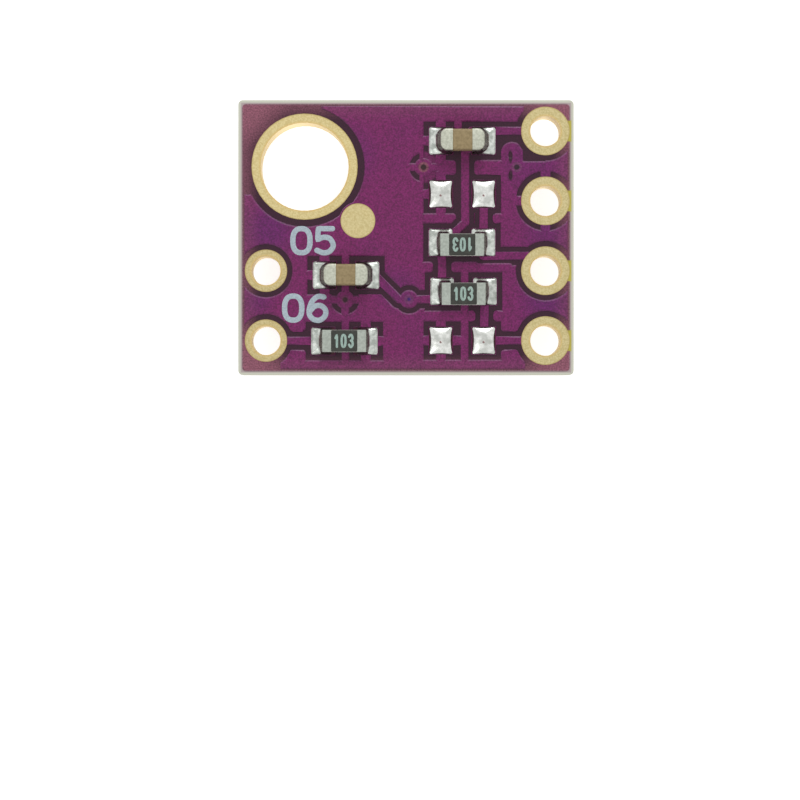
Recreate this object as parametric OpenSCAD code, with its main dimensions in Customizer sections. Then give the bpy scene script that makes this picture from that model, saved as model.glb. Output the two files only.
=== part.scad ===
// Humidity sensor module: a small two-layer circuit board with chip parts on its upper side and
// the sensor package on its underside. The board lies flat with the chip parts up, resting on the
// sensor's face at z = 0. X runs along the long edge, towards the row of four connection holes.

/* [Board] */
// Thickness of the laminate with both copper foils
board_t = 1.6; // [0.8:0.1:2.4]
// Radius of the board's corners
corner_r = 0.16; // [0.05:0.01:0.3]
// Thickness of a copper foil
foil_t = 0.035; // [0.025:0.005:0.07]
// Thickness of the solder mask
mask_t = 0.02; // [0.01:0.005:0.024]
// Width of the bare laminate rim round the solder mask
rim_w = 0.14; // [0.05:0.01:0.2]
// Distance from the board's edge to the ground copper
pour_inset = 0.24; // [0.21:0.01:0.3]
// Thickness of the plating inside the holes
plating_t = 0.035; // [0.02:0.005:0.05]

/* [Mounting hole] */
// Diameter of the mounting hole
mount_d = 3.2; // [2.8:0.05:3.4]
// Width of the plated ring round the mounting hole
mount_ring_w = 0.33; // [0.2:0.01:0.36]
// Gap between that ring and the ground copper
mount_gap = 0.27; // [0.15:0.01:0.3]
// Width of the mask between the rim and that ring at the left edge
mount_strip_left = 0.343; // [0.3:0.001:0.6]
// Width of the mask between the rim and that ring at the upper edge
mount_strip_top = 0.352; // [0.3:0.001:0.6]

/* [Connection holes] */
// Spacing of the connection holes
hole_pitch = 2.54; // [2.45:0.01:2.6]
// Number of pitches between the connection holes and the option holes
column_pitches = 4; // [4:1:6]
// Diameter of the four connection holes
header_d = 1.1; // [0.8:0.01:1.2]
// Width of the plated ring round a connection hole
header_ring_w = 0.335; // [0.2:0.005:0.36]
// Distance from these rings to the rim at the right edge
strip_right = 0.005; // [0.002:0.001:0.1]
// Width of the mask between the uppermost of these rings and the rim
strip_top = 0.1; // [0.05:0.01:0.5]
// Width of the mask between the lowest of these rings and the rim
strip_bottom = 0.23; // [0.1:0.01:0.5]
// Height of the gap in the mask beside each of these rings
window_h = 0.76; // [0.5:0.01:0.9]
// Diameter of the two option holes
option_d = 1.05; // [0.7:0.05:1.1]
// Width of the plated ring round an option hole
option_ring_w = 0.245; // [0.15:0.01:0.28]
// Width of the mask between these rings and the rim at the left edge
strip_left = 0.1; // [0.05:0.01:0.5]

/* [Copper] */
// Width of a track
track_w = 0.27; // [0.2:0.01:0.3]
// Gap between a track or land and the ground copper
gap_w = 0.21; // [0.16:0.01:0.23]
// Width of the bridges from the ground copper to a land
bridge_w = 0.33; // [0.2:0.01:0.36]
// Diameter of a via's drilled hole with its plating
via_d = 0.2; // [0.15:0.01:0.3]
// Diameter of a via's land
via_land_d = 0.64; // [0.55:0.01:0.7]
// Diameter of the round bare pad
dot_d = 1.266; // [1:0.01:1.3]
// Thickness of the gold on the round pad
gold_t = 0.01; // [0.006:0.001:0.014]
// Distance from the round pad to the ring of the mounting hole
dot_gap = 0.2; // [0.15:0.01:0.4]
// Radius of the rounded ends of the ground copper between the gaps
blunt_r = 0.12; // [0.05:0.01:0.15]

/* [Lands] */
// Length of a land along its chip part
land_w = 0.86; // [0.8:0.01:0.9]
// Width of a land across its chip part
land_h = 1; // [0.9:0.01:1.04]
// Spacing of the two lands of a chip part
land_pitch = 1.56; // [1.5:0.01:1.6]

/* [Chip capacitors] */
// Length of a capacitor
cap_l = 1.63; // [1.55:0.01:1.7]
// Width of a capacitor
cap_w = 0.81; // [0.75:0.01:0.86]
// Height of a capacitor
cap_h = 0.8; // [0.6:0.01:0.9]
// Length of a capacitor's metal end
cap_end = 0.46; // [0.3:0.01:0.5]
// Radius of a capacitor's edges
cap_r = 0.15; // [0.05:0.01:0.2]
// Thickness of a capacitor's metal end
cap_metal_t = 0.025; // [0.015:0.005:0.03]

/* [Chip resistors] */
// Length of a resistor
res_l = 1.6; // [1.52:0.01:1.66]
// Width of a resistor
res_w = 0.8; // [0.75:0.01:0.86]
// Height of a resistor without its coating
res_h = 0.42; // [0.35:0.01:0.5]
// Length of a resistor's metal end
res_end = 0.32; // [0.25:0.01:0.34]
// Thickness of a resistor's metal end
res_metal_t = 0.03; // [0.02:0.005:0.04]
// Distance of the first two resistors below the middle of their lands
res_drop = 0.095; // [0:0.005:0.1]
// Length of a resistor's coating
coat_l = 0.94; // [0.86:0.01:0.95]
// Thickness of a resistor's coating
coat_t = 0.05; // [0.02:0.005:0.06]

/* [Solder] */
// Thickness of the solder under a chip part
joint_t = 0.03; // [0.02:0.005:0.05]
// Height that the solder climbs at a capacitor's end
cap_climb = 0.5; // [0.3:0.01:0.55]
// Height that the solder climbs at a resistor's end
res_climb = 0.36; // [0.25:0.01:0.4]
// Height of the solder on a land without a chip part
dome_h = 0.16; // [0.1:0.01:0.2]
// Depth by which that solder's long sides draw in
side_draw = 0.09; // [0.02:0.01:0.12]
// Depth by which its short sides draw in
end_draw = 0.03; // [0.01:0.01:0.06]

/* [Sensor] */
// Side of the square sensor package
sensor_w = 2.5; // [2.4:0.05:3]
// Height of the sensor package
sensor_h = 0.9; // [0.8:0.05:1.2]
// Diameter of the sensing opening at the package's face
opening_d = 1.3; // [1.1:0.05:1.5]
// Diameter of the sensing opening at the die
opening_floor_d = 0.8; // [0.6:0.05:0.9]
// Side of the square die
die_w = 1.2; // [1:0.05:1.3]
// Thickness of the die
die_t = 0.3; // [0.2:0.01:0.35]
// Spacing of the sensor's contacts
contact_pitch = 0.5; // [0.45:0.01:0.55]
// Width of a sensor contact
contact_w = 0.25; // [0.2:0.01:0.3]
// Length of a sensor contact
contact_l = 0.35; // [0.3:0.01:0.4]
// Thickness of the sensor's contacts
contact_t = 0.2; // [0.15:0.01:0.25]
// Thickness of the solder under the sensor
sensor_joint_t = 0.04; // [0.03:0.005:0.06]

/* [Hidden] */
$fn = 64;
// Overlap that keeps cut faces from lying on the faces they cut
cut = 0.05;

// Heights of the layers, from the sensor's face upwards
under_z = sensor_h + sensor_joint_t;
top_z = under_z + board_t;
core_low_z = under_z + foil_t;
core_top_z = top_z - foil_t;
part_z = top_z + joint_t;

// The board's length and width follow from the hole pattern and the strips round it
mount_ring_r = mount_d / 2 + mount_ring_w;
header_ring_r = header_d / 2 + header_ring_w;
option_ring_r = option_d / 2 + option_ring_w;
column_span = column_pitches * hole_pitch;
row_span = 3 * hole_pitch;
board_w = 2 * rim_w + strip_left + option_ring_r + column_span + header_ring_r + strip_right;
board_h = 2 * rim_w + strip_bottom + strip_top + 2 * header_ring_r + row_span;

// Places of the holes
mount_at = [
    rim_w + mount_strip_left + mount_ring_r - board_w / 2,
    board_h / 2 - rim_w - mount_strip_top - mount_ring_r
];
header_x = board_w / 2 - rim_w - strip_right - header_ring_r;
header_y = board_h / 2 - rim_w - strip_top - header_ring_r;
header_at = [for (i = [0 : 3]) [header_x, header_y - i * hole_pitch]];
option_x = header_x - column_span;
option_at = [for (i = [2, 3]) [option_x, header_y - i * hole_pitch]];

// Places of the chip parts: the right column follows the connection holes, the left one the option holes
right_x = header_x - 3.025;
left_x = option_x + 2.91;
cap_at = [[right_x, header_at[0][1] - 0.36], [left_x, option_at[0][1] - 0.165]];
res_at = [
    [right_x - 0.01, header_at[2][1] + 1.025],
    [right_x + 0.045, header_at[2][1] - 0.755],
    [left_x - 0.06, option_at[1][1] - 0.02]
];
spare_at = [[right_x, header_at[1][1] + 0.245], [right_x, header_at[3][1]]];
res_drops = [res_drop, res_drop, 0];
part_at = concat(cap_at, res_at, spare_at);

// Places of the vias and of the round bare pad
via_at = [
    [header_x - 4.433, header_at[1][1] + 1.225],
    [header_x - 1.045, header_at[1][1] + 1.225],
    [option_x + 5.197, option_at[0][1] - 1.04],
    [option_x + 2.878, option_at[0][1] - 1.054]
];
dot_way = -45.43;
dot_at = mount_at + (mount_ring_r + dot_gap + dot_d / 2) * [cos(dot_way), sin(dot_way)];
supply_via = via_at[2];
edge_via = via_at[1];
ground_vias = [via_at[0], via_at[1], via_at[3]];

// Lands of a chip part: side is -1 for its left land and 1 for its right one
function land(at, side) = at + [side * land_pitch / 2, 0];
land_r = sqrt(land_w * land_w + land_h * land_h) / 2;
supply_x = right_x + 0.105;
ground_x = right_x + 0.085;

// Ends of the ground copper between the gaps, with rounded corners: those that point along X have
// their X, their lowest and highest Y and their direction, those along Y likewise
land_reach = [land_w / 2 + gap_w, land_h / 2 + gap_w];
track_reach = track_w / 2 + gap_w;
down_x = land(res_at[0], -1)[0] + 0.06;
signal_x = (land(res_at[1], 1)[0] + land(spare_at[1], 1)[0]) / 2;
spare_x = land(spare_at[0], 1)[0];
pull_x = land(res_at[2], -1)[0] - land_reach[0];
ends_along_x = [
    for (side = [-1, 1]) [
        supply_x - side * track_reach, spare_at[0][1] + land_reach[1], cap_at[0][1] - land_reach[1], side
    ],
    [supply_x - track_reach, res_at[0][1] + land_reach[1], spare_at[0][1] - land_reach[1], 1],
    [spare_x + track_reach, res_at[0][1] + land_reach[1], spare_at[0][1] - land_reach[1], -1],
    for (side = [-1, 1]) [
        down_x - side * track_reach, res_at[1][1] + land_reach[1], res_at[0][1] - land_reach[1], side
    ],
    for (side = [-1, 1]) [
        signal_x - side * track_reach, spare_at[1][1] + land_reach[1], res_at[1][1] - land_reach[1], side
    ]
];
header_reach = sqrt(pow(header_ring_r + gap_w, 2) - pow(track_reach + blunt_r, 2));
option_reach = sqrt(pow(option_ring_r + gap_w, 2) - pow(track_reach + blunt_r, 2));
ends_along_y = [
    for (side = [-1, 1]) [
        header_at[3][1] - side * track_reach, spare_x + land_reach[0], header_x - header_reach, side
    ],
    for (side = [-1, 1]) [
        option_at[1][1] - side * track_reach, option_x + option_reach, pull_x, side
    ]
];

// Lands that the ground copper reaches by bridges, each with the directions of its bridges
ground_lands = [
    [land(cap_at[0], -1), [90, 180, 270]],
    [land(spare_at[0], -1), [90, 180, 270]],
    [land(spare_at[1], -1), [0, 90, 180, 270]],
    [land(cap_at[1], -1), [90, 180, 270]],
    [land(res_at[2], 1), [0, 90, 270]]
];

// Tracks of the upper side that lie apart from the ground copper
top_tracks = [
    [land(cap_at[0], 1) + [0, 0.36], [header_x, cap_at[0][1] + 0.36]],
    [
        [supply_x + 0.23, cap_at[0][1] + 0.36],
        [supply_x + 0.23, cap_at[0][1] - 0.18],
        [supply_x, cap_at[0][1] - 0.41],
        [supply_x, res_at[0][1] + 0.73],
        [supply_x - 0.6, res_at[0][1] + 0.13]
    ],
    [land(spare_at[0], 1), land(res_at[0], 1)],
    [land(res_at[0], 1) + [0, -0.49], [header_at[2][0] - 0.6, res_at[0][1] - 0.49]],
    [land(res_at[0], -1), [down_x, res_at[0][1] - 0.8], land(res_at[1], -1)],
    [supply_via, [land(res_at[1], -1)[0], supply_via[1]]],
    [
        land(cap_at[1], 1) + [0.28, -0.02],
        supply_via + [-0.36, 0],
        supply_via
    ],
    [land(res_at[1], 1), land(spare_at[1], 1)],
    [land(spare_at[1], 1), header_at[3]],
    [land(res_at[2], -1), option_at[1]]
];

// Tracks of the upper side that belong to the ground copper
ground_tracks = [
    [[right_x - 0.155, board_h / 2 - 0.6], [right_x - 0.155, cap_at[0][1]]],
    [[right_x - 0.155, res_at[1][1] + 0.89], [right_x + 1.7, res_at[1][1] + 0.89]],
    [[ground_x, res_at[1][1] + 0.89], [ground_x, 0.45 - board_h / 2]],
    [[left_x - 0.02, cap_at[1][1] + 0.9], [left_x - 0.02, 0.45 - board_h / 2]]
];

// The sensor and its contacts: they lie along its left and right edges, lowest first
sensor_at = [0, 0];
contact_y = [for (i = [-1.5 : 1.5]) i * contact_pitch];
contact_x = sensor_w / 2 - contact_l / 2;
centre_pad = [sensor_w - 1.5, sensor_w - 0.8];
pad_over = 0.12;
sensor_edge = sensor_w / 2 + pad_over;
sensor_top = contact_y[3] + 0.7;

// Tracks of the underside, by what they join
data_track = [
    [-contact_x, contact_y[0]],
    [-sensor_edge - 0.93, contact_y[0]],
    [-sensor_edge - 1.58, contact_y[0] - 0.65],
    [-sensor_edge - 1.58, header_at[3][1] + 1.05],
    [-sensor_edge - 0.93, header_at[3][1] + 0.4],
    [header_x - 0.4, header_at[3][1] + 0.4],
    header_at[3]
];
address_track = [
    [-contact_x, contact_y[1]],
    [-sensor_edge - 1.23, contact_y[1]],
    [option_x + 1.59, sensor_edge + 1.23 + option_x + 1.59 + contact_y[1]],
    [option_x + 1.59, option_at[1][1] + 1.59],
    option_at[1]
];
alert_track = [[-contact_x, contact_y[2]], [option_x + 1.45, contact_y[2]], option_at[0]];
clock_track = [
    [-contact_x, contact_y[3]],
    [-sensor_edge - 0.28, contact_y[3]],
    [-sensor_edge - 0.28, sensor_top],
    [-sensor_edge + 0.17, sensor_top + 0.45],
    [header_at[2][0] - sensor_top - 0.45 + header_at[2][1], sensor_top + 0.45],
    header_at[2]
];
supply_track = [
    [contact_x, contact_y[3]],
    [sensor_edge + 0.38, contact_y[3]],
    [sensor_edge + 0.38, supply_via[1] + 1.64],
    supply_via
];
reset_track = [[contact_x, contact_y[2]], [sensor_edge + 0.38, contact_y[2]]];
under_tracks = [data_track, address_track, alert_track, clock_track, supply_track, reset_track];

// A rectangle about the origin with round corners
module round_rect(size, r) {
    square([size[0] - 2 * r, size[1]], center = true);
    square([size[0], size[1] - 2 * r], center = true);
    for (x = [-1, 1], y = [-1, 1])
        translate([x * (size[0] / 2 - r), y * (size[1] / 2 - r)]) circle(r);
}

// A box about the origin in X and Y, standing on z = 0, with every edge rounded
module round_box(size, r) {
    intersection() {
        linear_extrude(size[2]) round_rect([size[0], size[1]], r);
        translate([0, size[1] / 2, size[2] / 2]) rotate([90, 0, 0])
            linear_extrude(size[1]) round_rect([size[0], size[2]], r);
        translate([-size[0] / 2, 0, size[2] / 2]) rotate([90, 0, 90])
            linear_extrude(size[0]) round_rect([size[1], size[2]], r);
    }
}

// A stroke of width w with round ends from a to b
module stroke(a, b, w) {
    d = b - a;
    translate(a) rotate(atan2(d[1], d[0])) translate([0, -w / 2]) square([norm(d), w]);
    translate(a) circle(w / 2, $fn = 32);
    translate(b) circle(w / 2, $fn = 32);
}

module track(points, w) {
    for (i = [1 : len(points) - 1]) stroke(points[i - 1], points[i], w);
}

// The board's outline, drawn in from its edge
module board_outline(inset) {
    round_rect([board_w - 2 * inset, board_h - 2 * inset], max(corner_r, inset));
}

// The discs of every plated ring, grown by g
module ring_discs(g) {
    translate(mount_at) circle(mount_ring_r + g);
    for (at = header_at) translate(at) circle(header_ring_r + g);
    for (at = option_at) translate(at) circle(option_ring_r + g);
}

// The lands of every chip part, grown by g
module lands(g) {
    for (at = part_at, side = [-1, 1])
        translate(land(at, side)) square([land_w + 2 * g, land_h + 2 * g], center = true);
}

// The bare strips between the two lands of a part, which the ground copper doesn't fill
module between_lands(g) {
    for (at = part_at)
        translate(at) square([land_pitch - land_w + cut, land_h + 2 * gap_w - 2 * g], center = true);
}

// The corners where the ground copper would be too thin to stay
module bare_corners(g) {
    half = [board_w / 2 + cut, board_h / 2 + cut];
    translate([-half[0], mount_at[1] - 1.03 + g]) square([half[0] + mount_at[0] + 0.62 - g, half[1]]);
    translate([header_x - 0.8 + g, header_at[0][1] + 0.5 + g]) square(half);
    translate([header_x - 0.75 + g, -half[1] - g]) square([half[0], half[1] + header_at[3][1] - 0.5]);
    translate([-half[0], -half[1] - g]) square([half[0] + option_x + 0.52, half[1] + option_at[1][1] - 0.4]);
}

// The bridges of a land from its middle across its gap, grown by g
module bridges(at, directions, reach, g) {
    for (a = directions)
        translate(at) rotate(a) translate([0, -bridge_w / 2 - g]) square([reach, bridge_w + 2 * g]);
}

// The gap round a ground via, with its four bridges left standing
module via_gap(g) {
    difference() {
        circle(via_land_d / 2 + gap_w - g, $fn = 32);
        circle(via_land_d / 2 + g, $fn = 32);
        for (a = [0, 90])
            rotate(a) square([2 * via_land_d, bridge_w * 0.8 + 2 * g], center = true);
    }
}

// What a rounded end of the ground copper leaves off at its two corners; the end points along X
module end_corners(end, g) {
    for (y = [[end[1], -1], [end[2], 1]])
        translate([end[0] - end[3] * blunt_r, y[0] - y[1] * blunt_r])
            mirror([end[3] < 0 ? 1 : 0, 0]) mirror([0, y[1] < 0 ? 1 : 0]) difference() {
                square(blunt_r + g + cut);
                circle(blunt_r + g);
            }
}

// Where the ground copper beside the edge via draws back from the uppermost ring, but for a round finger
module finger_surround(g) {
    finger_r = 0.385;
    left = spare_x + land_reach[0];
    finger = [left + finger_r, edge_via[1] + 0.52];
    difference() {
        translate([left - g, edge_via[1] + 0.2 + g]) square([header_x - left, 1]);
        stroke(finger, [finger[0], edge_via[1]], 2 * finger_r + 2 * g);
    }
}

// The two gaps beside the edge via
module edge_via_gaps(g) {
    for (y = [0.45, -0.32])
        translate(edge_via + [-0.235, y])
            stroke([0, -0.035], [0, 0.035], 0.16 - 2 * g);
}

// Ground copper of the upper side, grown by g
module top_pour(g) {
    s = gap_w - g;
    difference() {
        board_outline(pour_inset - g);
        translate(mount_at) circle(mount_ring_r + mount_gap - g);
        ring_discs(s);
        lands(s);
        between_lands(g);
        bare_corners(g);
        for (points = top_tracks) track(points, track_w + 2 * s);
        translate(supply_via) circle(via_land_d / 2 + s);
        for (at = [via_at[0], via_at[3]]) translate(at) via_gap(g);
        edge_via_gaps(g);
        finger_surround(g);
        for (end = ends_along_x) end_corners(end, g);
        for (end = ends_along_y) mirror([1, -1]) end_corners(end, g);
    }
}

// All copper of the upper side, grown by g
module top_copper(g) {
    top_pour(g);
    lands(g);
    for (points = top_tracks) track(points, track_w + 2 * g);
    for (points = ground_tracks) track(points, track_w - 0.02 + 2 * g);
    for (at = ground_lands) bridges(at[0], at[1], land_r + gap_w - 0.05, g);
    bridges(header_at[1], [90, 180, 270], header_ring_r + gap_w + 0.05, g);
    translate(supply_via) circle(via_land_d / 2 + g);
    for (at = ground_vias) translate(at) circle(via_land_d / 2 + g, $fn = 32);
    translate(dot_at) circle(dot_d / 2 + 0.04 + g);
}

// The sensor's own lands on the underside, grown by g
module sensor_lands(g) {
    translate(sensor_at) {
        square(centre_pad + [2 * g, 2 * g], center = true);
        for (x = [-1, 1], y = contact_y)
            translate([x * (contact_x + pad_over / 2), y])
                square([contact_l + pad_over + 2 * g, contact_w + 2 * g], center = true);
    }
}

// Ground copper of the underside, grown by g
module under_pour(g) {
    s = gap_w - g;
    difference() {
        board_outline(pour_inset - g);
        translate(mount_at) circle(mount_ring_r + mount_gap - g);
        ring_discs(s);
        bare_corners(g);
        for (points = under_tracks) track(points, track_w - 0.05 + 2 * s);
        translate(supply_via) circle(via_land_d / 2 + s);
        for (at = ground_vias) translate(at) via_gap(g);
        translate(sensor_at) square([2 * sensor_edge + 2 * s - 0.16, sensor_w - 0.36 - 2 * g], center = true);
        translate([-sensor_edge - 1.53 + g, contact_y[2] + 0.3 + g]) square([1.3 - 2 * g, 0.8 - 2 * g]);
    }
}

// All copper of the underside, grown by g
module under_copper(g) {
    under_pour(g);
    sensor_lands(g);
    for (points = under_tracks) track(points, track_w - 0.05 + 2 * g);
    for (y = [contact_y[0], contact_y[1]])
        translate([contact_x / 2, y]) square([contact_x, contact_w + 2 * g], center = true);
    translate([-0.15 - g, -sensor_w / 2 - 0.25]) square([0.3 + 2 * g, 1]);
    bridges(header_at[1], [90, 180, 270], header_ring_r + gap_w + 0.05, g);
    translate(supply_via) circle(via_land_d / 2 + g);
    for (at = ground_vias) translate(at) circle(via_land_d / 2 + g, $fn = 32);
}

// The drilled holes, which are wide enough for their plating
module drilled() {
    translate(mount_at) circle(mount_d / 2 + plating_t);
    for (at = header_at) translate(at) circle(header_d / 2 + plating_t);
    for (at = option_at) translate(at) circle(option_d / 2 + plating_t);
    for (at = via_at) translate(at) circle(via_d / 2, $fn = 32);
}

module laminate() {
    color("wheat") translate([0, 0, core_low_z]) linear_extrude(board_t - 2 * foil_t)
        difference() {
            board_outline(0);
            drilled();
        }
}

module front_copper() {
    color("chocolate") translate([0, 0, core_top_z]) linear_extrude(foil_t)
        difference() {
            top_copper(0);
            ring_discs(0);
            for (at = via_at) translate(at) circle(via_d / 2, $fn = 32);
        }
}

module back_copper() {
    color("chocolate") translate([0, 0, under_z]) linear_extrude(foil_t)
        difference() {
            under_copper(0);
            ring_discs(0);
            for (at = via_at) translate(at) circle(via_d / 2, $fn = 32);
        }
}

// A mask over the bare laminate that climbs over the copper and closes the vias; children are the
// mask's outline, the copper grown by the mask's thickness, and the copper itself
module mask_over_copper() {
    difference() {
        union() {
            linear_extrude(mask_t) children(0);
            linear_extrude(foil_t + mask_t) intersection() {
                children(0);
                children(1);
            }
        }
        translate([0, 0, -cut]) linear_extrude(foil_t + cut) children(2);
    }
}

// The gaps in the mask where the rings of the connection holes come close to the rim
module mask_windows() {
    for (at = header_at)
        translate([at[0] + header_d / 2, at[1] - window_h / 2]) square([header_ring_r + rim_w, window_h]);
}

module front_mask_outline() {
    difference() {
        board_outline(rim_w);
        ring_discs(0);
        mask_windows();
        lands(0);
        translate(dot_at) circle(dot_d / 2);
    }
}

module back_mask_outline() {
    difference() {
        board_outline(rim_w);
        ring_discs(0);
        mask_windows();
        sensor_lands(0);
    }
}

module front_solder_mask() {
    color("purple") translate([0, 0, core_top_z]) mask_over_copper() {
        front_mask_outline();
        top_copper(mask_t);
        top_copper(0);
    }
}

module back_solder_mask() {
    color("purple") translate([0, 0, core_low_z]) mirror([0, 0, 1]) mask_over_copper() {
        back_mask_outline();
        under_copper(mask_t);
        under_copper(0);
    }
}

// A plated hole: its barrel through the board with a ring on each side
module plated_hole(at, d, ring_r) {
    r = d / 2;
    wall = r + plating_t;
    color("goldenrod") translate([at[0], at[1], under_z]) rotate_extrude()
        polygon([
            [r, 0], [ring_r, 0], [ring_r, foil_t], [wall, foil_t], [wall, board_t - foil_t],
            [ring_r, board_t - foil_t], [ring_r, board_t], [r, board_t]
        ]);
}

// A via's plating: a thin tube through the board
module via_plating(at) {
    color("peru") translate([at[0], at[1], under_z]) difference() {
        cylinder(h = board_t, d = via_d, $fn = 32);
        translate([0, 0, -cut]) cylinder(h = board_t + 2 * cut, d = via_d - 2 * plating_t, $fn = 32);
    }
}

module round_pad_gold() {
    color("goldenrod") translate([dot_at[0], dot_at[1], top_z]) cylinder(h = gold_t, d = dot_d);
}

// The whole body of a capacitor, standing on its own underside
module capacitor_body() {
    round_box([cap_l, cap_w, cap_h], cap_r);
}

module capacitor_ceramic(at) {
    t = cap_metal_t;
    color("tan") translate([at[0], at[1], part_z + t])
        round_box([cap_l - 2 * t, cap_w - 2 * t, cap_h - 2 * t], cap_r - t);
}

module capacitor_ends(at) {
    t = cap_metal_t;
    color("silver") translate([at[0], at[1], part_z]) difference() {
        capacitor_body();
        translate([0, 0, t]) round_box([cap_l - 2 * t, cap_w - 2 * t, cap_h - 2 * t], cap_r - t);
        translate([0, 0, cap_h / 2]) cube([cap_l - 2 * cap_end, 2 * cap_w, 2 * cap_h], center = true);
    }
}

module resistor_substrate(at) {
    t = res_metal_t;
    color("whitesmoke") translate([at[0], at[1], part_z + t]) translate([t - res_l / 2, -res_w / 2, 0])
        cube([res_l - 2 * t, res_w, res_h - 2 * t]);
}

// The coating fills the space between the metal ends on top and rises a little above them
module resistor_coating(at) {
    color("darkslategray") translate([at[0], at[1], part_z + res_h - res_metal_t])
        intersection() {
            translate([0, 0, -res_h]) round_box([coat_l, res_w - 0.02, res_h + coat_t], coat_t * 0.8);
            translate([-res_l / 2, -res_w / 2, 0]) cube([res_l, res_w, res_h]);
        }
}

// The metal ends wrap the top, the end face and the underside
module resistor_ends(at) {
    t = res_metal_t;
    color("silver") translate([at[0], at[1], part_z]) rotate([90, 0, 0])
        translate([0, 0, -res_w / 2]) linear_extrude(res_w) difference() {
            translate([0, res_h / 2]) round_rect([res_l, res_h], t);
            translate([0, res_h / 2]) square([res_l - 2 * t, res_h - 2 * t], center = true);
            translate([0, res_h / 2]) square([res_l - 2 * res_end, 2 * res_h], center = true);
        }
}

// A side view of solder: from height h at x = a, hollow, down to height e at x = b
module hollow_slope(a, b, h, e, r) {
    chord = [b - a, e - h];
    half = norm(chord) / 2;
    middle = [(a + b) / 2, (h + e) / 2];
    normal = [-chord[1], chord[0]] / norm(chord);
    difference() {
        square([b, h]);
        translate(middle + normal * sqrt(r * r - half * half)) circle(r);
    }
}

// Solder of one land: it lies under the part's end and climbs it hollow on the outer side and flanks;
// drop is how far the part lies below the land's middle
module solder_joint(l, w, climb, side, drop) {
    edge = land_pitch / 2 + land_w / 2;
    lip = 0.06;
    flank_end = land_h / 2;
    mirror([side < 0 ? 1 : 0, 0, 0]) intersection() {
        translate([land_pitch / 2, 0, 0]) linear_extrude(climb + joint_t)
            square([land_w, land_h], center = true);
        translate([0, land_h / 2, 0]) rotate([90, 0, 0]) linear_extrude(land_h)
            hollow_slope(l / 2 - 0.02, edge, climb + joint_t, lip, 0.55);
        rotate([90, 0, 90]) linear_extrude(edge) for (flank = [1, -1]) mirror([flank < 0 ? 1 : 0, 0, 0])
            hollow_slope(min(w / 2 - flank * drop, flank_end) - 0.03, flank_end, climb + joint_t, lip, 1.5);
    }
}

module capacitor_solder(at) {
    color("gainsboro") translate([at[0], at[1], top_z]) for (side = [-1, 1]) difference() {
        solder_joint(cap_l, cap_w, cap_climb, side, 0);
        translate([0, 0, joint_t]) capacitor_body();
    }
}

module resistor_solder(at, drop) {
    color("gainsboro") translate([at[0], at[1], top_z]) for (side = [-1, 1]) difference() {
        solder_joint(res_l, res_w, res_climb, side, drop);
        translate([0, -drop, joint_t + res_h / 2]) cube([res_l, res_w, res_h], center = true);
    }
}

// Radius of an arc over the length l that is d deep in its middle
function bow_r(l, d) = (l * l / 4 + d * d) / (2 * d);

// Solder on a bare land: a low dome whose sides draw in between its corners
module spare_land_solder(at) {
    side_r = bow_r(land_h, side_draw);
    end_r = bow_r(land_w, end_draw);
    dome_r = bow_r(2 * land_r, dome_h);
    color("gainsboro") translate([at[0], at[1], top_z]) intersection() {
        linear_extrude(dome_h + cut) difference() {
            square([land_w, land_h], center = true);
            for (way = [-1, 1]) {
                translate([way * (land_w / 2 + side_r - side_draw), 0]) circle(side_r, $fn = 128);
                translate([0, way * (land_h / 2 + end_r - end_draw)]) circle(end_r, $fn = 128);
            }
        }
        translate([0, 0, dome_h - dome_r - 0.03]) sphere(dome_r + 0.03, $fn = 128);
    }
}

// The sensor's contacts and centre pad, in the plane of the package
module contact_shapes() {
    square(centre_pad, center = true);
    for (x = [-1, 1], y = contact_y)
        translate([x * contact_x, y]) square([contact_l, contact_w], center = true);
}

module sensor_contacts() {
    color("silver") translate([sensor_at[0], sensor_at[1], sensor_h - contact_t])
        linear_extrude(contact_t) contact_shapes();
}

module sensor_die() {
    color("steelblue") translate([sensor_at[0], sensor_at[1], sensor_h - contact_t - die_t / 2])
        cube([die_w, die_w, die_t], center = true);
}

module sensor_package() {
    floor_z = sensor_h - contact_t - die_t;
    color("dimgray") translate([sensor_at[0], sensor_at[1], 0]) difference() {
        translate([0, 0, sensor_h / 2]) cube([sensor_w, sensor_w, sensor_h], center = true);
        translate([0, 0, -cut]) cylinder(h = floor_z + cut, d1 = opening_d, d2 = opening_floor_d);
        translate([0, 0, floor_z + die_t / 2]) cube([die_w, die_w, die_t], center = true);
        translate([0, 0, sensor_h - contact_t]) linear_extrude(contact_t + cut) contact_shapes();
    }
}

module sensor_solder() {
    color("gainsboro") translate([sensor_at[0], sensor_at[1], sensor_h])
        linear_extrude(sensor_joint_t) sensor_lands(0);
}

laminate();
front_copper();
back_copper();
front_solder_mask();
back_solder_mask();
plated_hole(mount_at, mount_d, mount_ring_r);  // fixing_hole_plating
for (i = [0 : 3])
    plated_hole(header_at[i], header_d, header_ring_r);
for (i = [0 : 1])
    plated_hole(option_at[i], option_d, option_ring_r);
for (i = [0 : 3])
    via_plating(via_at[i]);
round_pad_gold();
for (i = [0 : 1]) {
    capacitor_ceramic(cap_at[i]);
    capacitor_ends(cap_at[i]);
    capacitor_solder(cap_at[i]);
}
for (i = [0 : 2]) {
    at = res_at[i] - [0, res_drops[i]];
    resistor_substrate(at);
    resistor_coating(at);
    resistor_ends(at);
    resistor_solder(res_at[i], res_drops[i]);
}
for (i = [0 : 1], side = [0, 1])
    spare_land_solder(land(spare_at[i], 2 * side - 1));
sensor_package();
sensor_die();
sensor_contacts();
sensor_solder();
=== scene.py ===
"""Looks of the humidity sensor module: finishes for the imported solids, printed marks, camera and light.

Lengths are written in millimetres and turned to metres by MM. X runs towards the connection holes,
Y towards the edge beside the mounting hole and Z up through the board.
"""

import logging
import math
from collections.abc import Callable
from dataclasses import dataclass
from enum import Enum

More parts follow.
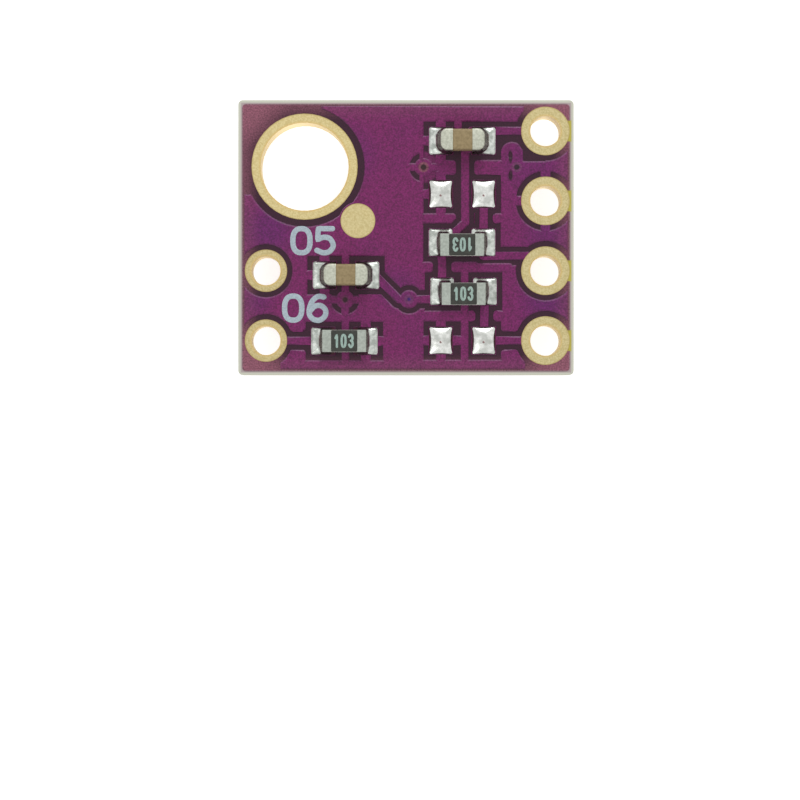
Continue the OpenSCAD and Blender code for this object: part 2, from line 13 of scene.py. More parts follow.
import bpy
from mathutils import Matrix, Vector


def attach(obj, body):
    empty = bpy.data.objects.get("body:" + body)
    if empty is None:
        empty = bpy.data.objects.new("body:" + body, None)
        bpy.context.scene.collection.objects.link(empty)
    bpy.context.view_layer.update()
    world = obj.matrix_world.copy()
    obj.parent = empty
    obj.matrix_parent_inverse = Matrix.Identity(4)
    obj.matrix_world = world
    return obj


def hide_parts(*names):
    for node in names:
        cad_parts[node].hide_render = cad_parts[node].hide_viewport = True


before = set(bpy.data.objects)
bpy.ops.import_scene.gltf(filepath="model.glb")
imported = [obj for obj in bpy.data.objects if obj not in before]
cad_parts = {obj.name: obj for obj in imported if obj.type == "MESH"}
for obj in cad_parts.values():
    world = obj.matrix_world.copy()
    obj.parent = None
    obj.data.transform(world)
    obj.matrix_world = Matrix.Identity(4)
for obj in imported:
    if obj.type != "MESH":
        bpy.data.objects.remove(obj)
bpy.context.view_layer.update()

MM = 0.001
TOP_Z = 2.54  # Upper face of the copper
MASK_LOW_Z, MASK_TOP_Z = 2.525, 2.56  # Outer face of the mask over laminate and over copper
UNDER_MASK_LOW_Z, UNDER_MASK_TOP_Z = 0.955, 0.92  # The same of the underside's mask
BOARD_W, BOARD_H = 12.2, 10.0
MOUNT_AT, MOUNT_R = (-3.687, 2.578), 1.6
HEADER_X, OPTION_X = 5.07, -5.09
HEADER_Y = (3.875, 1.335, -1.205, -3.745)
SPARE_LANDS_AT = ((2.045, 1.58), (2.045, -3.745))
LAND_PITCH, LAND_W, LAND_H = 1.56, 0.86, 1.0  # Distance and size of a chip part's two lands

log = logging.getLogger("humidity_module")
Pair = tuple[float, float]
Point = tuple[float, float, float]
Colour = Point
Quad = tuple[float, float, float, float]
Material = bpy.types.Material
Piece = bpy.types.Object
Socket = bpy.types.NodeSocket


def linear(rgb: Colour) -> Quad:
    """Turns a colour as a screen shows it, from 0 to 255, into an opaque shader colour."""
    shares = (v / 255 for v in rgb)
    return (*(v / 12.92 if v <= 0.04045 else ((v + 0.055) / 1.055) ** 2.4 for v in shares), 1.0)


class Graph:
    """A tree of shader nodes under construction."""

    def __init__(self, tree: bpy.types.NodeTree) -> None:
        """Takes up the node tree of a material or of the world."""
        self.tree = tree

    def feed(self, value: object, target: Socket) -> None:
        """Joins a socket to an input, or sets the input to a value.

        Args:
            value: The socket or the value.
            target: The input.
        """
        if isinstance(value, Socket):
            self.tree.links.new(value, target)
        else:
            target.default_value = value

    def node(self, kind: str, **settings: object) -> bpy.types.Node:
        """Adds a shader node.

        Args:
            kind: Name of the node without its ShaderNode prefix.
            settings: Properties of the node, and what its inputs get, by index as s0, s1 and so on.

        Returns:
            The new node.
        """
        made = self.tree.nodes.new("ShaderNode" + kind)
        for key, value in settings.items():
            if key[0] == "s" and key[1:].isdigit():
                self.feed(value, made.inputs[int(key[1:])])
            else:
                setattr(made, key, value)
        return made

    def math(self, kind: str, a: Socket | float, b: Socket | float = 0.0) -> Socket:
        """Works out one number from one or two, by an operation of the Math node."""
        return self.node("Math", operation=kind, s0=a, s1=b).outputs[0]

    def times(self, a: Socket | float, b: Socket | float) -> Socket:
        """Multiplies two numbers."""
        return self.math("MULTIPLY", a, b)

    def rays(self, *kinds: str) -> Socket:
        """Tells rays of some kinds from all others.

        Args:
            kinds: Names of the kinds, as in Is Camera Ray.

        Returns:
            Socket that is 1 for a ray of one of these kinds.
        """
        path = self.node("LightPath").outputs
        found = path[f"Is {kinds[0]} Ray"]
        for kind in kinds[1:]:
            found = self.math("MAXIMUM", found, path[f"Is {kind} Ray"])
        return found


class Recipe(Graph):
    """A material under construction, with what its finishes are mixed from."""

    def __init__(self, name: str) -> None:
        """Starts a material with its surface shader.

        Args:
            name: Name of the material.
        """
        self.material = bpy.data.materials.new(name)
        self.material.use_nodes = True
        super().__init__(self.material.node_tree)
        coordinates = self.node("TexCoord").outputs
        self.place = coordinates["Object"]
        self.direction = coordinates["Normal"]

    def axis(self, name: str) -> Socket:
        """One coordinate of the place on the object, in metres."""
        return self.node("SeparateXYZ", s0=self.place).outputs[name]

    def facing(self, name: str) -> Socket:
        """One part of the direction in which the surface faces, from -1 to 1."""
        return self.node("SeparateXYZ", s0=self.direction).outputs[name]

    def fade(self, value: Socket, start: float, end: float) -> Socket:
        """A smooth change from 0 at start to 1 at end of the value."""
        return self.node("MapRange", interpolation_type="SMOOTHSTEP", s0=value, s1=start, s2=end).outputs[0]

    def fade_mm(self, value: Socket, start: float, end: float) -> Socket:
        """The same for a value in metres, with start and end in millimetres."""
        return self.fade(value, start * MM, end * MM)

    def steep(self, start: float, end: float) -> Socket:
        """The same for how far the surface faces up or down: 1 if level and 0 if upright."""
        return self.fade(self.math("ABSOLUTE", self.facing("Z")), start, end)

    def noise(self, size: float, detail: float = 2.0, stretch: Point = (1, 1, 1)) -> Socket:
        """Grain from 0 to 1 with features of about this size, squeezed by a factor along each axis."""
        squeezed = self.node("Mapping", s0=self.place, s3=stretch).outputs[0]
        return self.node("TexNoise", s0=squeezed, s2=1 / (size * MM), s3=detail).outputs[0]

    def blend(self, amount: Socket, a: Socket | Colour, b: Socket | Colour, share: float = 1.0) -> Socket:
        """Mixes two colours.

        Args:
            amount: Socket from 0 to 1.
            a: First colour on a screen, or a socket.
            b: Second colour on a screen, or a socket.
            share: Factor of the amount.

        Returns:
            Socket of the mixed colour.
        """
        if share != 1.0:
            amount = self.times(amount, share)
        first, second = (linear(c) if isinstance(c, tuple) else c for c in (a, b))
        return self.node("Mix", data_type="RGBA", s0=amount, s6=first, s7=second).outputs[2]

    def squares(self, a: Socket, b: Socket) -> Socket:
        """Adds the squares of two numbers."""
        return self.math("ADD", self.times(a, a), self.times(b, b))

    def away_from(self, at: Pair) -> Socket:
        """Distance in metres from an upright axis through a place in millimetres."""
        dx, dy = (self.math("SUBTRACT", self.axis(name), c * MM) for name, c in zip("XY", at))
        return self.math("SQRT", self.squares(dx, dy))

    def edges(self) -> list[Socket]:
        """Distances in metres to the nearer edge of the board along X and along Y."""
        return [self.math("SUBTRACT", size / 2 * MM, self.math("ABSOLUTE", self.axis(name)))
                for name, size in (("X", BOARD_W), ("Y", BOARD_H))]

    def finish(self, colour: Socket, grain: Socket, rough: Pair, height: Socket, strength: float,
               depth: float, **settings: float) -> Material:
        """Joins colour, gloss and relief to the surface shader.

        Args:
            colour: Colour of the surface.
            grain: Socket from 0 to 1 that varies the roughness.
            rough: Lowest and highest roughness.
            height: Height of the relief, from 0 to 1.
            strength: Strength of the relief.
            depth: Depth of the relief.
            settings: Numbers for the shader's own sockets by name, with _ for a space.

        Returns:
            The finished material.
        """
        shader = self.tree.nodes["Principled BSDF"].inputs
        for name, value in settings.items():
            shader[name.replace("_", " ")].default_value = value
        self.feed(colour, shader["Base Color"])
        self.feed(self.node("MapRange", s0=grain, s3=rough[0], s4=rough[1]).outputs[0], shader["Roughness"])
        bump = self.node("Bump", s0=strength, s1=depth * MM)
        self.feed(height, bump.inputs["Height"])
        self.feed(bump.outputs[0], shader["Normal"])
        return self.material


@dataclass(frozen=True)
class ViaSpot:
    """A dark spot and a ring where a via shows through the mask; the defaults are the underside's."""

    at: Pair
    spot: Colour = (44, 22, 32)
    spot_r: float = 0.09
    ring: Colour = (112, 62, 88)
    ring_r: float = 0.17
    strength: float = 0.5  # How plainly the ring shows, from 0 to 1
    veil: float = 0.0  # How far the dark gaps on its right side are covered, from 0 to 1


@dataclass(frozen=True)
class MaskFinish:
    """Purple solder mask: magenta over copper, dark over bare laminate, with a painted highlight on the
    slopes at each step that face +Y and painted shade on those that face -Y.
    """

    name: str
    low_z: float  # Height of the mask over bare laminate
    top_z: float  # Height of the mask over copper
    spots: tuple[ViaSpot, ...] = ()  # The vias that show through it
    # Dark upright slits in the copper: place of the middle, half width and half height
    slits: tuple[Quad, ...] = ()
    violet_patches: tuple[Quad, ...] = ()  # Where it turns violet: place, reach and strength from 0 to 1
    violet_drift: float = 0.6  # How far it turns violet elsewhere, from 0 to 1
    over_copper: Colour = (118, 33, 93)
    over_copper_right: Colour = (104, 28, 94)
    over_copper_violet: Colour = (98, 30, 97)
    over_copper_edge: Colour = (125, 64, 98)
    over_laminate: Colour = (50, 12, 36)
    over_laminate_edge: Colour = (146, 88, 106)
    # slope_lit and slope_shaded are painted light: a painted highlight for slopes that face +Y and painted
    # shade for slopes that face -Y
    slope_lit: Colour = (136, 92, 128)
    slope_shaded: Colour = (82, 34, 70)
    thin_edge: Colour = (150, 124, 132)

    def mark(self, r: Recipe, base: Socket) -> Socket:
        """Adds the slits and the vias.

        Args:
            r: The material under construction.
            base: Colour so far.

        Returns:
            Socket of the new colour.
        """
        for x, y, half_w, half_h in self.slits:
            u = r.math("DIVIDE", r.math("SUBTRACT", r.axis("X"), x * MM), half_w * MM)
            v = r.math("DIVIDE", r.math("SUBTRACT", r.axis("Y"), y * MM), half_h * MM)
            base = r.blend(r.fade(r.squares(u, v), 1.5, 0.4), base, self.over_laminate)
        for spot in self.spots:
            away = r.away_from(spot.at)
            ring = r.fade_mm(away, spot.ring_r + 0.02, spot.ring_r - 0.03)
            base = r.blend(ring, base, spot.ring, spot.strength)
            base = r.blend(r.fade_mm(away, spot.spot_r + 0.03, spot.spot_r - 0.02), base, spot.spot)
        return base

    def make(self) -> Material:
        """Builds the material.

        Returns:
            The finished material.
        """
        r = Recipe(self.name)
        edges = r.edges()
        edge = r.math("MINIMUM", *edges)
        high = r.blend(r.fade_mm(r.axis("X"), 2.5, 5.5), self.over_copper, self.over_copper_right, 0.45)
        violet = r.times(r.fade(r.noise(1.7), 0.5, 0.66), self.violet_drift)
        for x, y, reach, amount in self.violet_patches:
            patch = r.fade_mm(r.away_from((x, y)), reach, 0.15 * reach)
            violet = r.math("MAXIMUM", violet, r.times(patch, amount))
        high = r.blend(violet, high, self.over_copper_violet)
        high = r.blend(r.fade_mm(edge, 0.9, 0.2), high, self.over_copper_edge, 0.5)
        low = r.blend(r.fade_mm(edge, 0.8, 0.15), self.over_laminate, self.over_laminate_edge, 0.55)
        corner = r.fade_mm(r.math("SQRT", r.squares(*edges)), 2.1, 0.7)
        low = r.blend(corner, low, self.over_laminate_edge, 0.95)
        for spot in self.spots:
            if spot.veil:
                near = r.fade_mm(r.away_from(spot.at), 0.62, 0.5)
                right = r.fade_mm(r.axis("X"), spot.at[0] - 0.1, spot.at[0] + 0.1)
                low = r.blend(r.times(near, right), low, self.over_copper, spot.veil)
        step = self.top_z - self.low_z
        level = r.fade_mm(r.axis("Z"), self.low_z + 0.15 * step, self.low_z + 0.85 * step)
        base = r.blend(level, low, high)
        # Painted light: tilted faces that face +Y take a painted highlight, and those that face -Y take
        # painted shade, as if lit from +Y
        tilted = r.steep(0.975, 0.915)
        shaded = r.times(tilted, r.fade(r.facing("Y"), 0.0, -0.4))
        base = r.blend(shaded, base, self.slope_shaded, 0.7)
        lit = r.times(tilted, r.fade(r.facing("Y"), -0.05, 0.4))
        base = r.blend(lit, base, self.slope_lit, 0.75)
        base = self.mark(r, base)
        base = r.blend(r.fade_mm(edge, 0.2, 0.13), base, self.thin_edge, 0.9)
        grain = r.noise(0.055, 4.0)
        shade = r.node("MapRange", s0=grain, s1=0.3, s2=0.7, s3=0.55, s4=1.45).outputs[0]
        tone = r.node("HueSaturation", s2=shade, s4=base).outputs[0]
        return r.finish(tone, grain, (0.38, 0.58), r.noise(0.11, 3.0), 0.3, 0.007,
                        IOR=1.5, Specular_IOR_Level=0.32)


@dataclass(frozen=True)
class MetalFinish:
    """A plated or tinned metal with fine grain in its colour, gloss and relief."""

    name: str
    colour: Colour
    tint: Colour  # The colour of its grain
    smooth: float  # Lowest roughness
    rough: float  # Highest roughness
    grain: float = 0.08  # Size of the grain
    relief: float = 0.002  # Depth of the relief
    side: Colour = (120, 116, 110)  # Painted dark reflection on its steep faces, standing in for the dark surroundings that they mirror
    painted_reflection_amount: float = 0.0  # How much of that painted reflection they take, from 0 to 1
    cloud: Colour = (142, 152, 144)  # Colour of its broad dull patches
    cloud_amount: float = 0.0  # How much of that colour they take, from 0 to 1
    pits: tuple[Pair, ...] = ()  # Places of small pits, each darkened by a painted reflection
    # Painted dark reflection at each pit
    pit: Colour = (128, 98, 98)

    def make(self) -> Material:
        """Builds the material.

        Returns:
            The finished material.
        """
        r = Recipe(self.name)
        grain = r.noise(self.grain, 3.0)
        face = r.blend(r.fade(grain, 0.3, 0.7), self.colour, self.tint)
        if self.cloud_amount:
            face = r.blend(r.fade(r.noise(0.3), 0.42, 0.62), face, self.cloud, self.cloud_amount)
        # Painted reflection: steep faces are darkened towards the side colour
        if self.painted_reflection_amount:
            face = r.blend(r.steep(0.86, 0.4), face, self.side, self.painted_reflection_amount)
        # Painted reflection: a dark spot at each pit
        for at in self.pits:
            face = r.blend(r.fade_mm(r.away_from(at), 0.06, 0.02), face, self.pit)
        return r.finish(face, grain, (self.smooth, self.rough), r.noise(self.grain * 1.5), 0.3,
                        self.relief, Metallic=1.0)


@dataclass(frozen=True)
class GoldFinish:
    """Pale gold plating: rings that deepen towards the hole's lip, and a barrel painted brighter, for light
    that comes through the hole.
    """

    name: str
    at: Pair  # The hole's axis
    hole_r: float  # Radius of the hole, or 0 for a pad without one
    ring_r: float  # Outer radius
    face: Colour = (210, 197, 148)  # Colour of the flat ring
    tint: Colour = (194, 178, 126)  # Colour of its grain
    lip: Colour = (206, 176, 112)  # Colour beside the hole
    barrel_painted_light: Colour = (226, 206, 156)  # Painted light: brighter colour of the barrel inside the hole, for light that comes through it
    rim: Colour = (172, 152, 98)  # Colour of the outermost edge

    def make(self) -> Material:
        """Builds the material.

        Returns:
            The finished material.
        """
        r = Recipe(self.name)
        grain = r.noise(0.06, 3.0)
        away = r.away_from(self.at)
        face = r.blend(r.fade(grain, 0.35, 0.65), self.face, self.tint)
        face = r.blend(r.noise(0.35), face, self.lip, 0.2)
        face = r.blend(r.fade_mm(away, self.ring_r - 0.06, self.ring_r), face, self.rim, 0.8)
        if self.hole_r:
            face = r.blend(r.fade_mm(away, self.hole_r + 0.1, self.hole_r + 0.01), face, self.lip, 0.6)
            # Painted light: the barrel's upright faces take the brighter colour
            face = r.blend(r.steep(0.8, 0.3), face, self.barrel_painted_light)
        return r.finish(face, grain, (0.42, 0.6), r.noise(0.09), 0.35, 0.003, Metallic=0.85)


@dataclass(frozen=True)
class LaminateFinish:
    """Pale glass laminate: a whitish routed rim, woven threads and faint layers on its cut sides."""

    name: str = "laminate_glass"
    rim: Colour = (220, 222, 206)
    body: Colour = (196, 192, 168)
    stained: Colour = (186, 168, 170)
    resin: Colour = (196, 186, 84)
    side: Colour = (184, 178, 140)
    bundle: Colour = (162, 158, 128)
    thread: Colour = (214, 214, 200)

    def make(self) -> Material:
        """Builds the material.

        Returns:
            The finished material.
        """
        r = Recipe(self.name)
        weave_x, weave_y, layers = (
            r.node("TexWave", wave_type="BANDS", bands_direction=axis, s0=r.place, s1=2 / (pitch * MM),
                   s2=waviness).outputs[1]
            for axis, pitch, waviness in (("X", 0.5, 1.5), ("Y", 0.5, 1.5), ("Z", 0.36, 2.0)))
        threads = r.times(r.math("ADD", weave_x, weave_y), 0.5)
        dust = r.noise(0.1, 3.0)
        upright = r.steep(0.8, 0.3)
        bundles = r.fade(r.noise(0.2, 2.0, (1, 1, 2.5)), 0.5, 0.68)
        base = r.blend(dust, self.rim, self.body, 0.2)
        base = r.blend(r.fade_mm(r.math("MINIMUM", *r.edges()), 0.05, 0.14), base, self.stained)
        base = r.blend(r.times(layers, upright), base, self.side, 0.6)
        base = r.blend(r.times(bundles, upright), base, self.bundle, 0.4)
        base = r.blend(threads, base, self.thread, 0.12)
        beside_rings = 0.0
        for y in HEADER_Y:
            away = r.math("ABSOLUTE", r.math("SUBTRACT", r.axis("Y"), y * MM))
            beside_rings = r.math("MAXIMUM", beside_rings, r.fade_mm(away, 0.42, 0.36))
        strip = r.times(r.fade_mm(r.axis("X"), 5.6, 5.7), r.fade_mm(r.axis("X"), 6.04, 5.99))
        base = r.blend(r.times(beside_rings, strip), base, self.resin)
        relief = r.math("ADD", dust, r.times(layers, 0.5))
        return r.finish(base, dust, (0.6, 0.85), relief, 0.4, 0.01, Specular_IOR_Level=0.3)


@dataclass(frozen=True)
class CeramicFinish:
    """Fired ceramic, moulded body or ink: fine mottling in colour and gloss."""

    name: str
    colour: Colour
    tint: Colour
    smooth: float = 0.4
    rough: float = 0.6
    grain: float = 0.09
    relief: float = 0.004
    specular: float = 0.4

    def make(self) -> Material:
        """Builds the material.

        Returns:
            The finished material.
        """
        r = Recipe(self.name)
        grain = r.noise(self.grain, 4.0)
        face = r.blend(r.fade(grain, 0.3, 0.72), self.colour, self.tint)
        return r.finish(face, grain, (self.smooth, self.rough), r.noise(self.grain * 1.4, 3.0), 0.3,
                        self.relief, Specular_IOR_Level=self.specular)


class Slot(Enum):
    """Material slots of the record, one for each kind of new piece."""

    MASK = "solder_mask"
    SOLDER = "solder"
    END = "end_metal"
    CERAMIC = "capacitor_ceramic"


def dress(material: Material, *nodes: str) -> None:
    """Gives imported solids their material.

    Args:
        material: The material they take.
        nodes: Names of the solids.
    """
    for node in nodes:
        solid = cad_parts[node]
        solid.data.materials.clear()
        solid.data.materials.append(material)
        log.info("dressed %s with %s", node, material.name)


def only(*chosen: Piece) -> None:
    """Selects these objects and nothing else, and makes the first one active.

    Args:
        chosen: The objects.
    """
    bpy.ops.object.select_all(action="DESELECT")
    for piece in chosen:
        piece.select_set(True)
    bpy.context.view_layer.objects.active = chosen[0]


def joined(pieces: list[Piece]) -> Piece:
    """Joins objects to one and puts its place, turn and size into its mesh.

    Args:
        pieces: The objects.

    Returns:
        The one object.
    """
    only(*pieces)
    bpy.ops.object.join()
    bpy.ops.object.transform_apply(location=True, rotation=True, scale=True)
    return bpy.context.object


def finish_piece(piece: Piece, name: str, material: Material, slot: Slot | None = None,
                 node: str | None = None) -> None:
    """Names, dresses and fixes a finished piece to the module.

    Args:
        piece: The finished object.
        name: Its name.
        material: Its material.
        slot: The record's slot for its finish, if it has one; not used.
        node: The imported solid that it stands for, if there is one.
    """
    piece.name = name
    piece.data.name = name
    piece.data.materials.clear()
    piece.data.materials.append(material)
    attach(piece, "root")
    if node:
        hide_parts(node)
    log.info("made %s with %d faces", name, len(piece.data.polygons))


def edit(selected: bool) -> None:
    """Goes into edit mode and selects everything or nothing."""
    bpy.ops.object.mode_set(mode="EDIT")
    bpy.ops.mesh.select_all(action="SELECT" if selected else "DESELECT")


def leave_edit() -> None:
    """Goes back to object mode with nothing of the mesh selected."""
    bpy.ops.mesh.select_all(action="DESELECT")
    bpy.ops.object.mode_set(mode="OBJECT")


def choose_edges(piece: Piece, wanted: Callable[[Vector, Vector], bool]) -> None:
    """Goes into edit mode with only some edges selected.

    Args:
        piece: The object whose edges are chosen.
        wanted: Says of an edge's two ends in millimetres whether the edge is chosen.
    """
    only(piece)
    bpy.context.tool_settings.mesh_select_mode = (False, True, False)
    bpy.ops.object.mode_set(mode="EDIT")
    leave_edit()
    mesh = piece.data
    for edge in mesh.edges:
        edge.select = wanted(*(mesh.vertices[v].co / MM for v in edge.vertices))
    bpy.ops.object.mode_set(mode="EDIT")


def smooth_outside(angle: float, weld: float = 0.0) -> None:
    """Turns the active object's faces outwards and shades it smooth.

    Args:
        angle: Angle in degrees up to which an edge is shaded smooth.
        weld: Distance up to which vertices are merged first.
    """
    edit(True)
    if weld:
        bpy.ops.mesh.remove_doubles(threshold=weld * MM)
    bpy.ops.mesh.normals_make_consistent(inside=False)
    leave_edit()
    bpy.ops.object.shade_smooth_by_angle(angle=math.radians(angle))


def copy_solid(node: str) -> Piece:
    """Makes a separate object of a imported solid's mesh, with its loose triangles joined.

    Args:
        node: Name of the solid.

    Returns:
        The new object.
    """
    piece = bpy.data.objects.new(node + "_copy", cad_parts[node].data.copy())
    bpy.context.collection.objects.link(piece)
    only(piece)
    bpy.ops.mesh.customdata_custom_splitnormals_clear()
    edit(True)
    bpy.ops.mesh.remove_doubles(threshold=0.0001 * MM)
    leave_edit()
    return piece


class Side(Enum):
    """The board's two sides."""

    FRONT = "front"
    BACK = "back"


@dataclass
class MaskSkin:
    """A solder mask whose raised parts slope down at their edges."""

    side: Side
    finish: MaskFinish
    slope_w: float = 0.055
    slope_h: float = 0.019
    lip_h: float = 0.006  # Height by which the mask is lower at its openings
    near: float = 0.002  # Distance within which two heights count as one

    def is_at(self, place: Vector, z: float) -> bool:
        """Says whether a place in metres lies at a height in millimetres."""
        return abs(place.z - z * MM) < self.near * MM

    def slope(self, piece: Piece) -> None:
        """Draws the raised faces in and lowers their outer loops.

        Args:
            piece: The copy of the solid.
        """
        mesh = piece.data
        bpy.context.tool_settings.mesh_select_mode = (False, False, True)
        for face in mesh.polygons:
            face.select = abs(face.normal.z) > 0.99 and self.is_at(face.center, self.finish.top_z)
        bpy.ops.object.mode_set(mode="EDIT")
        bpy.ops.mesh.inset(thickness=self.slope_w * MM, depth=0.0, use_even_offset=True, use_boundary=True)
        bpy.ops.object.mode_set(mode="OBJECT")
        inner = {v for face in mesh.polygons if face.select for v in face.vertices}
        at_top = {v.index for v in mesh.vertices if self.is_at(v.co, self.finish.top_z)}
        outer_of = {}
        beside_step = set()
        for edge in mesh.edges:
            for a, b in (edge.vertices, reversed(edge.vertices)):
                if a in inner and b in at_top and b not in inner:
                    outer_of[a] = mesh.vertices[b].co.copy()
                if a in at_top and self.is_at(mesh.vertices[b].co, self.finish.low_z):
                    beside_step.add(a)
        self.ease(mesh, outer_of)
        down = math.copysign(MM, self.finish.low_z - self.finish.top_z)
        for index in at_top - inner:
            height = self.slope_h if index in beside_step else self.lip_h
            mesh.vertices[index].co.z += down * height

    def ease(self, mesh: bpy.types.Mesh, outer_of: dict[int, Vector]) -> None:
        """Moves vertices back towards their outer ones where a part is too narrow for two slopes.

        Args:
            mesh: Mesh of the skin.
            outer_of: Place of the outer vertex of each inner one.
        """
        up = math.copysign(1.0, self.finish.top_z - self.finish.low_z)
        reach = 1.6 * self.slope_w * MM
        for index, place in outer_of.items():
            vertex = mesh.vertices[index]
            moved = vertex.co - place
            if moved.length > reach:
                vertex.co = place + moved * (reach / moved.length)
        for _ in range(6):
            mesh.update()
            turned = {v for face in mesh.polygons if face.select and face.normal.z * up < 0.5
                      for v in face.vertices}
            turned |= {v for face in mesh.polygons if not face.select and face.normal.z * up < -0.5
                       for v in face.vertices if v in outer_of}
            if not turned:
                break
            for index in turned & outer_of.keys():
                mesh.vertices[index].co = mesh.vertices[index].co.lerp(outer_of[index], 0.6)

    def build(self) -> None:
        """Makes the skin."""
        node = f"{self.side.value}_solder_mask"
        piece = copy_solid(node)
        self.slope(piece)
        bpy.ops.object.shade_smooth_by_angle(angle=math.radians(14))
        finish_piece(piece, f"mask_skin_{self.side.value}", self.finish.make(), Slot.MASK, node)


@dataclass
class BareBoard:
    """Laminate, copper and solder mask."""

    spots: tuple[ViaSpot, ...] = (
        ViaSpot((0.637, 2.56), (46, 22, 28), 0.10, (134, 86, 92), 0.19, 0.7, 0.75),
        ViaSpot((4.025, 2.56), (40, 18, 34), 0.095, (116, 64, 100), 0.19, 0.6),
        # The third via's blue-violet spot is painted light: light from below that shines up through the
        # tented hole
        ViaSpot((0.107, -2.245), (60, 20, 104), 0.055, (106, 58, 100), 0.18, 0.6),
        ViaSpot((-2.212, -2.259), (52, 26, 34), 0.09, (110, 60, 88), 0.16, 0.4))
    slits: tuple[Quad, ...] = ((3.8, 2.93, 0.075, 0.23), (3.8, 2.26, 0.075, 0.21))
    violet_drift: float = 0.12
    violet_patches: tuple[Quad, ...] = (
        (-5.0, 0.3, 1.5, 0.8), (-2.1, 3.0, 1.6, 0.5), (-5.5, -2.2, 1.0, 0.6), (-0.3, -1.9, 1.2, 0.45),
        (4.6, 2.7, 1.7, 0.35), (5.2, 0.2, 1.3, 0.5), (5.2, -2.2, 1.4, 0.8))

    def dress_solids(self) -> None:
        """Dresses the laminate, the copper and the vias' plating."""
        dress(LaminateFinish().make(), "laminate")
        foil = MetalFinish("copper_foil", (78, 48, 56), (64, 38, 46), 0.35, 0.55)
        dress(foil.make(), "front_copper", "back_copper")
        plating = MetalFinish("via_copper", (186, 120, 92), (160, 100, 76), 0.3, 0.5)
        dress(plating.make(), *(f"via_plating_{i + 1}" for i in range(len(self.spots))))

    def build_masks(self) -> None:
        """Builds the two solder masks with sloping edges."""
        front = MaskFinish("mask_front", MASK_LOW_Z, MASK_TOP_Z, self.spots, self.slits,
                           self.violet_patches, self.violet_drift)
        back = MaskFinish("mask_back", UNDER_MASK_LOW_Z, UNDER_MASK_TOP_Z,
                          tuple(ViaSpot(spot.at) for spot in self.spots))
        MaskSkin(Side.FRONT, front).build()
        MaskSkin(Side.BACK, back).build()


@dataclass
class PlatedHoles:
    """Gold rings and barrels of the holes, and the round bare pad."""

    header_r: Pair = (0.55, 0.885)  # Radius of a connection hole and outer radius of its ring
    option_r: Pair = (0.525, 0.77)  # The same of an option hole
    mount_ring_r: float = 1.93  # Outer radius of the mounting hole's ring
    dot_r: float = 0.633
    dot_at: Pair = (-1.748, 0.61)

    def dress_solids(self) -> None:
        """Dresses every ring, barrel and the round pad."""
        ring = GoldFinish("gold_mounting_hole", MOUNT_AT, MOUNT_R, self.mount_ring_r)
        dress(ring.make(), "fixing_hole_plating")
        header = ("connection", "pin", HEADER_X, HEADER_Y, self.header_r, (202, 191, 146), (182, 170, 122))
        option = ("option", "option", OPTION_X, HEADER_Y[2:], self.option_r, (198, 185, 140),
                  (178, 164, 116))
        for kind, node, at_x, ys, radii, face, tint in (header, option):
            for i, y in enumerate(ys):
                ring = GoldFinish(f"gold_{kind}_{i + 1}", (at_x, y), *radii, face, tint)
                dress(ring.make(), f"{node}_hole_plating_{i + 1}")
        pad = GoldFinish("gold_round_pad", self.dot_at, 0.0, self.dot_r, (204, 192, 146), (188, 174, 126))
        dress(pad.make(), "round_pad_gold")


def ramp(value: float, start: float, end: float) -> float:
    """Smooth change from 0 at start to 1 at end."""
    t = min(max((value - start) / (end - start), 0.0), 1.0)
    return t * t * (3 - 2 * t)


def border(place: Pair) -> float:
    """Distance from a place on a land to the land's nearest side."""
    return min(LAND_W / 2 - abs(place[0]), LAND_H / 2 - abs(place[1]))


def round_corners(place: Pair, r: float = 0.1) -> Pair:
    """Draws the corners of a land's rectangle in to round ones.

    Args:
        place: Place from the land's middle.
        r: Radius of the corners.

    Returns:
        The new place.
    """
    inner = (LAND_W / 2 - r, LAND_H / 2 - r)
    beyond = [abs(c) - i for c, i in zip(place, inner)]
    if min(beyond) <= 0:
        return place
    shrink = max(beyond) / math.hypot(*beyond)
    return tuple(math.copysign(i + b * shrink, c) for c, i, b in zip(place, inner, beyond))


@dataclass
class SolderSheet:
    """Solder on one land, shaped from a grid over the land."""

    at: Pair  # Middle of the land
    height: Callable[[Pair], float]  # Height over the land at a place from its middle
    outline: Callable[[Pair], Pair]  # Where a place of the full rectangle goes
    side: int = 1  # -1 where both are mirrored from left to right, and 1 where they aren't
    cells: tuple[int, int] = (40, 46)  # Numbers of cells along X and Y

    def build(self) -> Piece:
        """Makes the closed, smooth object.

        Returns:
            The object.
        """
        bpy.ops.object.select_all(action="DESELECT")
        columns, rows = self.cells
        bpy.ops.mesh.primitive_grid_add(x_subdivisions=columns, y_subdivisions=rows, size=1.0)
        piece = bpy.context.object
        mesh = piece.data
        for vertex in mesh.vertices:
            place = (vertex.co.x * LAND_W, vertex.co.y * LAND_H)
            px, py = self.outline(place)
            z = TOP_Z + self.height(place)
            vertex.co = ((self.at[0] + self.side * px) * MM, (self.at[1] + py) * MM, z * MM)
        bpy.context.tool_settings.mesh_select_mode = (False, True, False)
        edit(False)
        bpy.ops.mesh.select_non_manifold()
        bpy.ops.mesh.extrude_region_move()
        bpy.ops.object.mode_set(mode="OBJECT")
        for vertex in mesh.vertices:
            if vertex.select:
                vertex.co.z = TOP_Z * MM
        bpy.ops.object.mode_set(mode="EDIT")
        bpy.ops.mesh.edge_face_add()
        smooth_outside(50)
        return piece


@dataclass(frozen=True)
class Chip:
    """A kind of chip part: the sizes that its solder fits, and the places."""

    name: str
    length: float
    width: float
    metal_l: float  # Length of a metal end
    corner_r: float  # Radius of its upright edges at the ends
    climb: float  # Height that its solder climbs
    middles: tuple[Pair, ...]  # Middle between the two lands of each part
    drops: tuple[float, ...]  # Distance of each part below that middle


